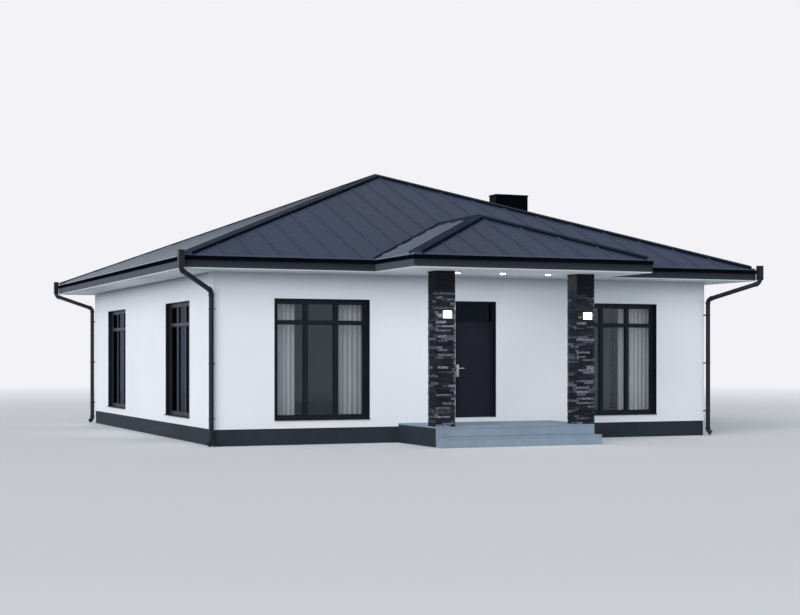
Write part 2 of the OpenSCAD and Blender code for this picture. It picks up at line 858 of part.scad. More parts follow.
module in_rear_wall() {
    for (x = [-front_window_x, front_window_x])
        translate([x, rear_y, sill_z]) rotate([0, 0, 180]) children();
}

module in_left_wall() {
    for (y = [side_window_1_y, side_window_2_y])
        translate([-half_w, y, sill_z]) rotate([0, 0, -90]) children();
}

module in_right_wall() {
    for (y = [side_window_1_y, side_window_2_y])
        translate([half_w, y, sill_z]) rotate([0, 0, 90]) children();
}

// One piece of a window for every opening of the house.
module in_all_walls() {
    in_front_wall() children();
    in_rear_wall() children();
    in_left_wall() children();
    in_right_wall() children();
}

module front_window_frames() color("#22252b") in_front_wall() window_frame();

module left_window_frames() color("#22252b") in_left_wall() window_frame();

module right_window_frames() color("#22252b") in_right_wall() window_frame();

module rear_window_frames() color("#22252b") in_rear_wall() window_frame();

module front_glass() color("#5b6672") in_front_wall() window_panes();

module left_glass() color("#5b6672") in_left_wall() window_panes();

module right_glass() color("#5b6672") in_right_wall() window_panes();

module rear_glass() color("#5b6672") in_rear_wall() window_panes();

module window_sills() color("#22252b") in_all_walls() window_sill();

module window_linings() color("#22252b") {
    in_all_walls() reveal_lining(window_w, sill_t, window_h);
    translate([0, front_y, floor_z]) reveal_lining(door_w, 0, head_z - floor_z);
}

module window_handles() color("#b9bcc2") {
    in_left_wall() window_handle();
    in_right_wall() window_handle();
}

module at_lamps() {
    for (s = [-1, 1]) translate([s * column_x, front_y - porch_out, lamp_z]) children();
}

module wall_lamps() color("#33363c") at_lamps()
    block([-lamp_w / 2, -lamp_plate_t, -lamp_w / 2], [lamp_w / 2, 0, lamp_w / 2]);

module wall_lamp_glows() color("#fff6e0") at_lamps()
    block([lamp_rim - lamp_w / 2, -lamp_out, lamp_rim - lamp_w / 2],
          [lamp_w / 2 - lamp_rim, -lamp_plate_t, lamp_w / 2 - lamp_rim]);

module porch_spotlights() color("#fff6e0") for (i = [-1 : 1])
    translate([i * spot_pitch, spot_y, wall_top_z - spot_t + soffit_t])
        cylinder(r = spot_r, h = spot_t, $fn = 48);

module curtain_tracks() color("#e8e8e8") for (s = [-1, 1])
    translate([s * front_window_x, curtain_y + curtain_t / 2, wall_top_z - track_h / 2])
        cube([window_w + 2 * curtain_over, track_w, track_h], center = true);

// A hanging curtain between two distances from the middle of the house.
module curtain(from, to)
    color("#dfe1e2")
        block([from, curtain_y, floor_z + curtain_gap], [to, curtain_y + curtain_t, wall_top_z - track_h]);

module curtain_1() {
    edge = -front_window_x - window_w / 2;
    curtain(edge - curtain_over, edge + curtain_left);
}

module curtain_2() {
    edge = -front_window_x + window_w / 2;
    curtain(edge - curtain_right, edge + curtain_over);
}

module curtain_3() {
    edge = front_window_x - window_w / 2;
    curtain(edge - curtain_over, edge + curtain_left);
}

module curtain_4() {
    edge = front_window_x + window_w / 2;
    curtain(edge - curtain_wide, edge + curtain_over);
}

// Chimney stack: stands on the ceiling slab and passes through the right roof face.
module chimney_column(grow)
    linear_extrude(height = far) translate([chimney_x, house_y])
        square([chimney_w + 2 * grow, chimney_d + 2 * grow], center = true);

module chimney() color("#17181b") intersection() {
    chimney_column(0);
    block([-far, -far, wall_top_z + ceiling_t], [far, far, chimney_top - cap_lid_t]);
}

module chimney_cap() color("#17181b") intersection() {
    chimney_column(cap_lid_out);
    block([-far, -far, chimney_top - cap_lid_t], [far, far, chimney_top]);
}

foundation();
floor_slab();  // floor
front_wall_left();
front_wall_right();
front_wall_over_door();
left_wall();
right_wall();
rear_wall_left();
rear_wall_right();
ceiling();
roof_front();
roof_rear();
roof_left();
roof_right();
hip_caps();
porch_roof_front();
porch_roof_left();
porch_roof_right();
porch_hip_caps();
flashings();
soffits();
porch_ceiling();
fascia();
porch_fascia();
gutters();
porch_gutter();
downpipes();
pipe_brackets();
porch_platform();
porch_paving();
porch_step();
column_left();
column_right();
door_frame();
door_transom_glass();
door_leaf();
door_handles();
door_threshold();
front_window_frames();
left_window_frames();
right_window_frames();
rear_window_frames();
front_glass();
left_glass();
right_glass();
rear_glass();
window_sills();
window_linings();
window_handles();
wall_lamps();
wall_lamp_glows();
porch_spotlights();
curtain_tracks();
curtain_1();
curtain_2();
curtain_3();
curtain_4();
chimney();
chimney_cap();
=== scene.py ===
import math
import random

import bmesh
import bpy
from mathutils import Matrix, Vector


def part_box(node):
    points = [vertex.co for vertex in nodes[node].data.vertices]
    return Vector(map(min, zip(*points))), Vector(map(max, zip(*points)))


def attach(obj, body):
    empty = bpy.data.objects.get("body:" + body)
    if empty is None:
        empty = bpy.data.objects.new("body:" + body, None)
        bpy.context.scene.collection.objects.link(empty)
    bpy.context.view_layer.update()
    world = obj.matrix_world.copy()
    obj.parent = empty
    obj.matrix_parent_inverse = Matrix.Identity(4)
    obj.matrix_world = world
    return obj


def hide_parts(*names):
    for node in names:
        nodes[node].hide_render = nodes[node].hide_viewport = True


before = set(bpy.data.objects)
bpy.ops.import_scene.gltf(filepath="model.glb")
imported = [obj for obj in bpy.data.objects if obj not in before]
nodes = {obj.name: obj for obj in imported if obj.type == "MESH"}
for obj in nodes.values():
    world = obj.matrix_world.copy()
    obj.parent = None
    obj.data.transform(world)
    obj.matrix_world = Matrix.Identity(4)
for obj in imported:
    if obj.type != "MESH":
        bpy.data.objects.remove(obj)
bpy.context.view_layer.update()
print("frame loaded:", len(nodes), "CAD nodes")

# Places on the house that several pieces need, all read from the frame.
wallLow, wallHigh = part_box("front_wall_left")
roofLow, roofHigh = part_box("roof_front")
porchLow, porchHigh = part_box("porch_roof_front")
frontY = wallLow.y
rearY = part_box("rear_wall_left")[1].y
middleY = (frontY + rearY) / 2
wallSideX = abs(wallLow.x)
wallTopZ = wallHigh.z
eaveLowZ = roofLow.z
porchApexY = porchLow.y + porchHigh.x

# The camera stands where the photo was taken from, found from the house's own corners.
cameraSet = {
    "side": -14.037,  # metres left of the house's centre line
    "before": 29.279,  # metres in front of the front wall
    "height": 1.80,
    "turn": 22.731,  # degrees to the right of straight at the front
    "lens": 67.75,
    "sensor": 36,
    "shiftUp": 0.0620,
    "reach": 500,  # metres that it sees
}


def makeCamera(c):
    data = bpy.data.cameras.new("viewCamera")
    data.lens = c["lens"]
    data.sensor_width = c["sensor"]
    data.sensor_fit = "HORIZONTAL"
    data.shift_y = c["shiftUp"]
    data.clip_end = c["reach"]
    camera = bpy.data.objects.new("viewCamera", data)
    bpy.context.scene.collection.objects.link(camera)
    camera.location = (c["side"], frontY - c["before"], c["height"])
    camera.rotation_euler = (math.radians(90), 0, math.radians(-c["turn"]))
    bpy.context.scene.camera = camera


makeCamera(cameraSet)
print("camera set")


def shader(name):
    mat = bpy.data.materials.new(name)
    mat.use_nodes = True
    tree = mat.node_tree
    tree.nodes.clear()
    return mat, tree


def put(tree, kind, inputs=None, **settings):
    # One node: inputs are values or the sockets that feed them.
    made = tree.nodes.new(kind)
    for key, value in settings.items():
        setattr(made, key, value)
    for key, value in (inputs or {}).items():
        if isinstance(value, bpy.types.NodeSocket):
            tree.links.new(value, made.inputs[key])
        else:
            made.inputs[key].default_value = value
    return made


def objectPlace(tree):
    return put(tree, "ShaderNodeTexCoord").outputs["Object"]


def axesOf(tree, vector):
    return put(tree, "ShaderNodeSeparateXYZ", {0: vector}).outputs


def noiseOf(tree, place, scale, detail=3.0, rough=0.5, stretch=None):
    if stretch:
        place = put(tree, "ShaderNodeMapping", {"Vector": place, "Scale": stretch}).outputs[0]
    return put(tree, "ShaderNodeTexNoise", {"Vector": place, "Scale": scale, "Detail": detail,
                                            "Roughness": rough}).outputs["Fac"]


def calc(tree, how, a, b=0.0, clamp=False):
    return put(tree, "ShaderNodeMath", {0: a, 1: b}, operation=how, use_clamp=clamp).outputs[0]


def faceTurn(tree):
    # Which way a face looks, as its shares of x, y and z.
    return axesOf(tree, put(tree, "ShaderNodeNewGeometry").outputs["True Normal"])


def uprightFaces(tree):
    # 1 on faces that stand upright, 0 on those that lie flat or slope.
    return calc(tree, "LESS_THAN", calc(tree, "ABSOLUTE", faceTurn(tree)[2]), 0.5)


def ramp(tree, value, low, high, toLow=0.0, toHigh=1.0):
    return put(tree, "ShaderNodeMapRange", {"Value": value, "From Min": low, "From Max": high,
                                            "To Min": toLow, "To Max": toHigh}).outputs[0]


def tint(tree, share, first, second):
    made = put(tree, "ShaderNodeMix", {0: share}, data_type="RGBA")
    for slot, value in ((6, first), (7, second)):
        if isinstance(value, bpy.types.NodeSocket):
            tree.links.new(value, made.inputs[slot])
        else:
            made.inputs[slot].default_value = (*value, 1)
    return made.outputs[2]


def directlySeen(tree):
    # 1 for what the camera sees, in mirrors and through glass too, and 0 for what only lights the house.
    rays = put(tree, "ShaderNodeLightPath").outputs
    return calc(tree, "MAXIMUM", calc(tree, "MAXIMUM", rays["Is Camera Ray"], rays["Is Glossy Ray"]),
                rays["Is Transmission Ray"])


def shade(tree, base, rough, bump=None, bumpDepth=0.001, bumpShare=0.5, **fixed):
    # A principled surface. What is fixed is set on the shader's own sockets.
    surface = put(tree, "ShaderNodeBsdfPrincipled")
    for key, value in (("Base Color", base), ("Roughness", rough)):
        if isinstance(value, bpy.types.NodeSocket):
            tree.links.new(value, surface.inputs[key])
        else:
            surface.inputs[key].default_value = (*value, 1) if key == "Base Color" else value
    for key, value in fixed.items():
        surface.inputs[key.replace("_", " ")].default_value = value
    if bump is not None:
        bumped = put(tree, "ShaderNodeBump", {"Height": bump, "Strength": bumpShare, "Distance": bumpDepth})
        tree.links.new(bumped.outputs[0], surface.inputs["Normal"])
    put(tree, "ShaderNodeOutputMaterial", {"Surface": surface.outputs[0]})


# Floated render: clouded, dusty from splashes at the foot, with painted shade right under the eaves.
def renderFinish(name, c):
    mat, tree = shader(name)
    place = objectPlace(tree)
    patch = noiseOf(tree, place, 0.55, 4.0)
    grain = noiseOf(tree, place, 240.0, 3.0, 0.65)
    trowel = noiseOf(tree, place, 22.0, 3.0)
    height = axesOf(tree, place)[2]
    splash = calc(tree, "MULTIPLY", ramp(tree, height, c["splashTop"], c["splashLow"]), patch, True)
    colour = tint(tree, ramp(tree, patch, 0.3, 0.7), c["light"], c["shade"])
    colour = tint(tree, calc(tree, "MULTIPLY", splash, c["splash"]), colour, c["dust"])
    # Painted shade right under the eaves: the wall darkens towards its top.
    eaveShade = calc(tree, "POWER", ramp(tree, height, wallTopZ - c["eaveShadeDepth"], wallTopZ), c["eaveShadePower"])
    colour = tint(tree, calc(tree, "MULTIPLY", eaveShade, c["eaveShadeShare"]), colour, c["eaveShadeTone"])
    bump = calc(tree, "ADD", grain, calc(tree, "MULTIPLY", trowel, 0.8))
    shade(tree, colour, ramp(tree, grain, 0.3, 0.7, 0.82, 0.95), bump, 0.0014, 0.35, Specular_IOR_Level=0.25)
    return mat


def plinthFinish(c):
    mat, tree = shader("plinthPlaster")
    place = objectPlace(tree)
    stones = put(tree, "ShaderNodeTexVoronoi", {"Vector": place, "Scale": 330.0})
    patch = noiseOf(tree, place, 1.6, 4.0)
    speck = put(tree, "ShaderNodeSeparateColor", {0: stones.outputs["Color"]}).outputs[0]
    colour = tint(tree, ramp(tree, speck, 0.2, 0.9), c["dark"], c["light"])
    colour = tint(tree, ramp(tree, patch, 0.35, 0.75, 0.0, 0.35), colour, c["dust"])
    bump = ramp(tree, stones.outputs["Distance"], 0.0, 0.6, 1.0, 0.0)
    shade(tree, colour, ramp(tree, speck, 0.0, 1.0, 0.6, 0.85), bump, 0.0015, 0.6, Specular_IOR_Level=0.15)
    return mat


def screedFinish(name, light, dark):
    mat, tree = shader(name)
    place = objectPlace(tree)
    cloud = noiseOf(tree, place, 0.9, 5.0)
    grain = noiseOf(tree, place, 160.0, 2.0)
    shade(tree, tint(tree, cloud, light, dark), ramp(tree, cloud, 0.3, 0.7, 0.6, 0.85), grain, 0.0008, 0.3)
    return mat


# Sheets run up the slope between the seams. Each has its own slight tone, staggered cross folds
# and the shallow waves of thin metal.
def roofFinish(name, c, middle, side=False):
    mat, tree = shader(name)
    place = objectPlace(tree)
    moved = put(tree, "ShaderNodeVectorMath", {0: place, 1: (0, middle, eaveLowZ)}, operation="SUBTRACT")
    axes = axesOf(tree, moved.outputs[0])
    sheet = calc(tree, "FLOOR", calc(tree, "DIVIDE", axes[1 if side else 0], c["pitch"]))
    draw = calc(tree, "ADD", sheet, 40.0 if side else 0.0)
    tone = put(tree, "ShaderNodeTexWhiteNoise", {"W": draw}, noise_dimensions="1D").outputs["Value"]
    up = calc(tree, "DIVIDE", axes[2], c["rise"])
    along = calc(tree, "FRACT", calc(tree, "ADD", calc(tree, "DIVIDE", up, c["sheetLength"]), tone))
    fold = calc(tree, "LESS_THAN", along, c["foldWidth"] / c["sheetLength"])
    wave = noiseOf(tree, place, 2.2, 2.0, 0.5)
    film = noiseOf(tree, place, 7.0, 6.0, 0.6, (1, 1, 1.6))
    fine = noiseOf(tree, place, 90.0, 2.0)
    colour = tint(tree, tone, c["dark"], c["light"])
    colour = tint(tree, ramp(tree, film, 0.45, 0.8, 0.0, c["dustShare"]), colour, c["dust"])
    upright = uprightFaces(tree)
    # Painted sky reflection on the side slopes: the sheets are lifted towards the dust colour, and the seams'
    # sides get a painted sheen that is paler near the eaves.
    if side:
        seamSheen = tint(tree, ramp(tree, up, 0.0, c["sheenFadeTo"]), c["seamSheenLow"], c["seamSheenHigh"])
        colour = tint(tree, upright, tint(tree, c["lift"], colour, c["dust"]), seamSheen)
    else:
        # Painted light on the sides of the seams on the front and rear slopes, to soften their shade.
        colour = tint(tree, calc(tree, "MULTIPLY", upright, c["seamLightShare"]), colour, c["seamFrontLight"])
    colour = tint(tree, calc(tree, "MULTIPLY", fold, c["foldShare"]), colour, c["shadow"])
    bump = calc(tree, "ADD", calc(tree, "ADD", calc(tree, "MULTIPLY", wave, c["waves"]), fold),
                calc(tree, "MULTIPLY", fine, 0.05))
    rough = calc(tree, "ADD", ramp(tree, film, 0.3, 0.7, c["rough"] - 0.05, c["rough"] + 0.08),
                 calc(tree, "MULTIPLY", tone, 0.05))
    shade(tree, colour, rough, bump, 0.002, 0.55, Specular_IOR_Level=c["gloss"])
    return mat


# How far a point is from the hips and the ridge of a hipped roof, seen from above.
def offTheHip(tree, place, c):
    moved = put(tree, "ShaderNodeVectorMath", {0: place, 1: (0, middleY, 0)}, operation="SUBTRACT")
    axes = axesOf(tree, moved.outputs[0])
    inX = calc(tree, "SUBTRACT", c["halfWide"], calc(tree, "ABSOLUTE", axes[0]))
    inY = calc(tree, "SUBTRACT", middleY - c["frontEave"], calc(tree, "ABSOLUTE", axes[1]))
    return calc(tree, "ABSOLUTE", calc(tree, "SUBTRACT", inX, calc(tree, "MINIMUM", inY, c["halfWide"])))


# Sprayed metal. Faces that look sideways may get painted light, and the foot a painted light that grows
# towards the bottom. The edge is the painted dark line of shadow along both sides of a cap over a hip.
def paintedMetal(name, base, lift, rough, gloss, side=None, footLight=None, edge=None):
    mat, tree = shader(name)
    place = objectPlace(tree)
    film = noiseOf(tree, place, 3.0, 5.0, 0.6)
    peel = noiseOf(tree, place, 260.0, 2.0)
    colour = tint(tree, ramp(tree, film, 0.35, 0.75), base, lift)
    if footLight:
        height = axesOf(tree, place)[2]
        # Painted light from below: lighter towards the foot.
        colour = tint(tree, ramp(tree, height, footLight["top"], footLight["low"]), colour, footLight["tone"])
    if side:
        look = faceTurn(tree)
        # Painted light on faces that look sideways.
        sideways = calc(tree, "GREATER_THAN", calc(tree, "ABSOLUTE", look[0]), calc(tree, "ABSOLUTE", look[1]))
        colour = tint(tree, calc(tree, "MULTIPLY", sideways, 0.75), colour, side)
    if edge:
        off = offTheHip(tree, place, edge)
        colour = tint(tree, ramp(tree, off, edge["from"], edge["to"]), colour, edge["tone"])
    shade(tree, colour, ramp(tree, film, 0.3, 0.7, rough - 0.05, rough + 0.08), peel, 0.0004, 0.25,
          Specular_IOR_Level=gloss)
    return mat


# Narrow boards with a groove between them, laid square to the wall that they run out from.
def soffitFinish(name, c):
    mat, tree = shader(name)
    place = objectPlace(tree)
    axes = axesOf(tree, place)
    outX = calc(tree, "SUBTRACT", calc(tree, "ABSOLUTE", axes[0]), wallSideX)
    fromY = calc(tree, "ABSOLUTE", calc(tree, "SUBTRACT", axes[1], middleY))
    outY = calc(tree, "SUBTRACT", fromY, (rearY - frontY) / 2)
    side = calc(tree, "GREATER_THAN", outX, outY)
    run = put(tree, "ShaderNodeMix", {0: side, 2: axes[0], 3: axes[1]}).outputs[0]
    part = calc(tree, "FRACT", calc(tree, "DIVIDE", run, c["board"]))
    groove = calc(tree, "LESS_THAN", part, c["groove"] / c["board"])
    film = noiseOf(tree, place, 2.0, 4.0)
    colour = tint(tree, film, c["light"], c["shade"])
    colour = tint(tree, calc(tree, "MULTIPLY", groove, c["grooveTone"]), colour, c["dark"])
    colour = tint(tree, uprightFaces(tree), colour, c["edge"])
    shade(tree, colour, 0.6, calc(tree, "SUBTRACT", 1.0, groove), 0.003, 0.5, Specular_IOR_Level=0.3)
    return mat


def pavingFinish(c):
    mat, tree = shader("stepSlabs")
    place = objectPlace(tree)
    cloud = noiseOf(tree, place, 2.3, 5.0)
    grain = noiseOf(tree, place, 190.0, 4.0, 0.7)
    colour = tint(tree, ramp(tree, cloud, 0.3, 0.75), c["light"], c["dark"])
    colour = tint(tree, ramp(tree, grain, 0.55, 0.8, 0.0, 0.4), colour, c["speck"])
    shade(tree, colour, ramp(tree, grain, 0.3, 0.7, 0.62, 0.85), grain, 0.0012, 0.4, Specular_IOR_Level=0.3)
    return mat


# Split stones, dark, grey or light by their own tone. They are mottled, with painted shade on the columns'
# sides.
def ledgeFinish(c):
    mat, tree = shader("ledgeStone")
    place = objectPlace(tree)
    tone = put(tree, "ShaderNodeAttribute", attribute_name="tone").outputs["Fac"]
    cleft = noiseOf(tree, place, 38.0, 6.0, 0.65, (1, 1, 2.6))
    vein = noiseOf(tree, place, 9.0, 4.0, 0.6, (1, 1, 3.0))
    colour = tint(tree, ramp(tree, tone, 0.0, 0.62), c["dark"], c["mid"])
    colour = tint(tree, ramp(tree, tone, 0.62, 1.0), colour, c["light"])
    colour = tint(tree, ramp(tree, vein, 0.52, 0.75, 0.0, 0.45), colour, c["rust"])
    colour = tint(tree, ramp(tree, cleft, 0.48, 0.8, 0.0, 0.35), colour, c["dust"])
    mottle = noiseOf(tree, place, c["mottleScale"], 3.0, 0.6, (1, 1, 1.8))
    colour = tint(tree, ramp(tree, mottle, 0.56, 0.38, 0.0, c["mottle"]), colour, c["dark"])
    # Painted shade on the columns' sides.
    sideways = calc(tree, "GREATER_THAN", calc(tree, "ABSOLUTE", faceTurn(tree)[0]), 0.7)
    colour = tint(tree, calc(tree, "MULTIPLY", sideways, c["sideShade"]), colour, c["dark"])
    shade(tree, colour, ramp(tree, cleft, 0.3, 0.7, 0.5, 0.8), cleft, 0.006, 0.8, Specular_IOR_Level=0.15)
    return mat


# A pane: clear in one tone and shiny in another, with the slight ripple of drawn glass.
def glassFinish(name, tone, gloss, c):
    mat, tree = shader(name)
    ripple = noiseOf(tree, objectPlace(tree), c["rippleScale"], 2.0)
    clear = put(tree, "ShaderNodeBsdfTransparent", {"Color": (*tone, 1)})
    bumped = put(tree, "ShaderNodeBump", {"Height": ripple, "Strength": c["ripple"], "Distance": 0.01})
    shine = put(tree, "ShaderNodeBsdfGlossy", {"Color": (*gloss, 1), "Roughness": c["rough"],
                                               "Normal": bumped.outputs[0]})
    edge = put(tree, "ShaderNodeFresnel", {"IOR": c["bend"]})
    both = put(tree, "ShaderNodeMixShader", {0: edge.outputs[0], 1: clear.outputs[0], 2: shine.outputs[0]})
    put(tree, "ShaderNodeOutputMaterial", {"Surface": both.outputs[0]})
    return mat


def steelFinish(name, base, rough):
    mat, tree = shader(name)
    place = objectPlace(tree)
    brush = noiseOf(tree, place, 130.0, 4.0, 0.6, (1, 1, 0.04))
    colour = tint(tree, brush, base, tuple(0.82 * v for v in base))
    shade(tree, colour, ramp(tree, brush, 0.3, 0.7, rough, rough + 0.12), brush, 0.0003, 0.4, Metallic=1.0)
    return mat


def glowFinish(name, colour, strength):
    mat, tree = shader(name)
    cloud = noiseOf(tree, objectPlace(tree), 18.0, 2.0)
    shade(tree, (0.9, 0.88, 0.84), ramp(tree, cloud, 0.3, 0.7, 0.3, 0.4), None,
          Emission_Color=(*colour, 1), Emission_Strength=strength)
    return mat


def clothFinish(c):
    mat, tree = shader("sheerCloth")
    uv = put(tree, "ShaderNodeTexCoord").outputs["UV"]
    weave = put(tree, "ShaderNodeTexWave", {"Vector": uv, "Scale": c["threads"], "Distortion": 0.4},
                bands_direction="X").outputs["Fac"]
    weft = put(tree, "ShaderNodeTexWave", {"Vector": uv, "Scale": c["threads"] * 1.1, "Distortion": 0.4},
               bands_direction="Y").outputs["Fac"]
    thread = calc(tree, "MAXIMUM", weave, weft)
    slub = noiseOf(tree, uv, 14.0, 3.0, 0.5, (6, 0.4, 1))
    colour = tint(tree, ramp(tree, slub, 0.3, 0.75), c["light"], c["shade"])
    fold = put(tree, "ShaderNodeAttribute", attribute_name="fold").outputs["Fac"]
    # Painted shade in the folds' valleys, where the cloth lies further back.
    colour = tint(tree, ramp(tree, fold, 0.55, 0.05, 0.0, c["valley"]), colour, c["deep"])
    body = put(tree, "ShaderNodeBsdfPrincipled", {"Base Color": colour, "Roughness": 0.9, "Sheen Weight": 0.3})
    bumped = put(tree, "ShaderNodeBump", {"Height": thread, "Strength": 0.3, "Distance": 0.0004})
    tree.links.new(bumped.outputs[0], body.inputs["Normal"])
    # Some light comes through the threads and some through the gaps between them.
    through = put(tree, "ShaderNodeBsdfTranslucent", {"Color": colour})
    gaps = put(tree, "ShaderNodeBsdfTransparent")
    cloth = put(tree, "ShaderNodeMixShader", {0: c["translucent"], 1: body.outputs[0], 2: through.outputs[0]})
    share = calc(tree, "MULTIPLY", ramp(tree, thread, 0.2, 0.9, 1.0, 0.6), c["sheer"])
    whole = put(tree, "ShaderNodeMixShader", {0: share, 1: cloth.outputs[0], 2: gaps.outputs[0]})
    put(tree, "ShaderNodeOutputMaterial", {"Surface": whole.outputs[0]})
    return mat


roofSheets = {
    "pitch": 0.58,  # the seams' own distance in the CAD
    "rise": 0.358,  # of the roof for a metre along its slope
    "sheetLength": 2.6,
    "foldWidth": 0.016,  # of the cross folds
    "foldShare": 0.5,
    "waves": 3.0,  # how wavy the metal is
    # On the side slopes, lift is a painted sky reflection seen at a grazing angle.
    "lift": 0.5,  # how much paler the side slopes are
    "seamLightShare": 0.9,
    "seamFrontLight": (0.082, 0.100, 0.146),  # the sides of the seams on the front and the rear
    # Painted sheen on the sides of the side slopes' seams, paler at the eaves.
    "seamSheenLow": (0.300, 0.330, 0.375),  # the sides of the side slopes' seams, at the eaves
    "seamSheenHigh": (0.130, 0.150, 0.185),  # and far up
    "sheenFadeTo": 5.0,  # metres up the slope that count as far
    "dark": (0.026, 0.038, 0.072),
    "light": (0.034, 0.049, 0.091),
    "dust": (0.052, 0.067, 0.105),
    "dustShare": 0.22,
    "shadow": (0.008, 0.010, 0.016),
    "rough": 0.46,
    "gloss": 0.04,
}
# On the porch's side slopes the painted sky reflection is at full strength.
porchSheets = {**roofSheets, "lift": 1.0, "sheenFadeTo": 3.0, "seamSheenLow": (0.18, 0.205, 0.275),
               "seamSheenHigh": (0.135, 0.158, 0.22)}
soffitBoards = {
    "board": 0.20,
    "groove": 0.006,
    "grooveTone": 0.35,
    "light": (0.68, 0.705, 0.74),
    "shade": (0.65, 0.675, 0.71),
    "dark": (0.26, 0.28, 0.31),
    "edge": (0.55, 0.57, 0.60),  # the soffits' narrow upright rims
}
wallRender = {
    "light": (0.80, 0.82, 0.85),
    "shade": (0.77, 0.795, 0.83),
    "dust": (0.60, 0.61, 0.62),
    "splashTop": 0.75,
    "splashLow": 0.34,
    "splash": 0.2,
    # Painted shade right under the eaves: its depth, share, fade and colour.
    "eaveShadeDepth": 0.36,  # the shade right under the eaves
    "eaveShadeShare": 0.5,
    "eaveShadePower": 1.6,
    "eaveShadeTone": (0.10, 0.115, 0.14),
}
glass = {
    "ripple": 0.05,
    "rippleScale": 1.3,
    "rough": 0.015,
    "bend": 1.45,  # how strongly it bends light
}
finishes = {
    "whiteRender": renderFinish("whiteRender", wallRender),
    # The side walls' copy of the render, with stronger painted shade under the eaves.
    "sideRender": renderFinish("sideRender", {**wallRender, "eaveShadeShare": 0.85, "eaveShadePower": 2.8}),
    "plinth": plinthFinish({"dark": (0.011, 0.016, 0.024), "light": (0.029, 0.039, 0.054),
                            "dust": (0.040, 0.050, 0.064)}),
    "floorScreed": screedFinish("floorScreed", (0.25, 0.29, 0.30), (0.19, 0.22, 0.23)),
    "ceilingBoard": screedFinish("ceilingBoard", (0.56, 0.60, 0.62), (0.50, 0.54, 0.56)),
    "roofSheet": roofFinish("roofSheet", roofSheets, middleY),
    "sideSheet": roofFinish("sideSheet", roofSheets, middleY, True),
    "porchSheet": roofFinish("porchSheet", porchSheets, porchApexY),
    # This paler dust colour serves as dust and, on the porch's side slopes, as a painted sky reflection.
    "porchSideSheet": roofFinish("porchSideSheet", {**porchSheets, "dust": (0.096, 0.114, 0.162)}, porchApexY,
                                 True),
    "capSheet": paintedMetal("capSheet", (0.014, 0.019, 0.032), (0.019, 0.025, 0.041), 0.5, 0.0),
    "hipSheet": paintedMetal("hipSheet", (0.036, 0.045, 0.062), (0.046, 0.056, 0.076), 0.5, 0.0,
                             edge={"tone": (0.006, 0.008, 0.013), "from": 0.155, "to": 0.190,
                                   "halfWide": roofHigh.x, "frontEave": roofLow.y}),
    "porchHipSheet": paintedMetal("porchHipSheet", (0.026, 0.034, 0.056), (0.034, 0.043, 0.069), 0.5, 0.0,
                                  edge={"tone": (0.007, 0.010, 0.019), "from": 0.145, "to": 0.180,
                                        "halfWide": porchHigh.x, "frontEave": porchLow.y}),
    "fasciaMetal": paintedMetal("fasciaMetal", (0.006, 0.008, 0.011), (0.008, 0.010, 0.014), 0.5, 0.03,
                                # Painted light on the fascia's sideways faces, and painted light from below at
                                # its foot.
                                side=(0.085, 0.098, 0.120),
                                footLight={"top": eaveLowZ - 0.02, "low": wallTopZ + 0.02,
                                      "tone": (0.034, 0.041, 0.052)}),
    "gutterMetal": paintedMetal("gutterMetal", (0.0022, 0.0028, 0.0048), (0.0034, 0.0042, 0.0066), 0.40, 0.0),
    "pipeMetal": paintedMetal("pipeMetal", (0.011, 0.014, 0.020), (0.016, 0.020, 0.027), 0.38, 0.14),
    "soffit": soffitFinish("soffitPanels", soffitBoards),
    # A paler copy of the soffit boards: painted light from the spots on the porch ceiling.
    "porchBoards": soffitFinish("porchBoards", {**soffitBoards, "light": (0.94, 0.95, 0.97),
                                                "shade": (0.92, 0.93, 0.95)}),
    "paving": pavingFinish({"light": (0.245, 0.310, 0.390), "dark": (0.200, 0.260, 0.330),
                            "speck": (0.32, 0.38, 0.45)}),
    "ledgeStone": ledgeFinish({"dark": (0.0030, 0.0038, 0.0065), "mid": (0.021, 0.025, 0.036),
                               "light": (0.27, 0.290, 0.350), "rust": (0.022, 0.020, 0.022),
                               "dust": (0.036, 0.040, 0.052), "mottleScale": 21.0, "mottle": 0.85,
                               "sideShade": 0.4}),
    "frameMetal": paintedMetal("frameMetal", (0.006, 0.009, 0.014), (0.009, 0.013, 0.019), 0.40, 0.16),
    # A lighter copy of frameMetal for the side windows, with painted light on faces that look sideways.
    "sideFrameMetal": paintedMetal("sideFrameMetal", (0.008, 0.011, 0.016), (0.012, 0.015, 0.021), 0.40, 0.16,
                                   side=(0.034, 0.038, 0.046)),
    "doorPaint": paintedMetal("doorPaint", (0.0105, 0.0118, 0.024), (0.014, 0.0155, 0.029), 0.46, 0.14),
    # Painted light on the chimney's faces that look sideways.
    "chimneyMetal": paintedMetal("chimneyMetal", (0.0020, 0.0023, 0.0034), (0.0032, 0.0036, 0.0050), 0.5, 0.0,
                                 side=(0.017, 0.019, 0.023)),
    "frontGlass": glassFinish("frontGlass", (0.97, 0.975, 0.98), (0.66, 0.78, 0.82), glass),
    "darkGlass": glassFinish("darkGlass", (0.18, 0.21, 0.27), (0.21, 0.28, 0.40), glass),
    "handleSteel": steelFinish("handleSteel", (0.62, 0.63, 0.66), 0.28),
    "sealRubber": paintedMetal("sealRubber", (0.004, 0.004, 0.005), (0.006, 0.006, 0.007), 0.7, 0.15),
    "lampMetal": paintedMetal("lampMetal", (0.03, 0.031, 0.035), (0.04, 0.041, 0.046), 0.45, 0.4),
    "lampGlow": glowFinish("lampGlow", (1.0, 0.96, 0.90), 4.5),
    "spotGlow": glowFinish("spotGlow", (0.97, 0.98, 1.0), 320.0),
    "trackMetal": steelFinish("trackMetal", (0.75, 0.75, 0.76), 0.35),
    "sheerCloth": clothFinish({"threads": 260.0, "light": (0.96, 0.97, 0.98), "shade": (0.91, 0.93, 0.95),
                               "deep": (0.30, 0.35, 0.40), "valley": 0.7, "translucent": 0.12, "sheer": 0.06}),
}
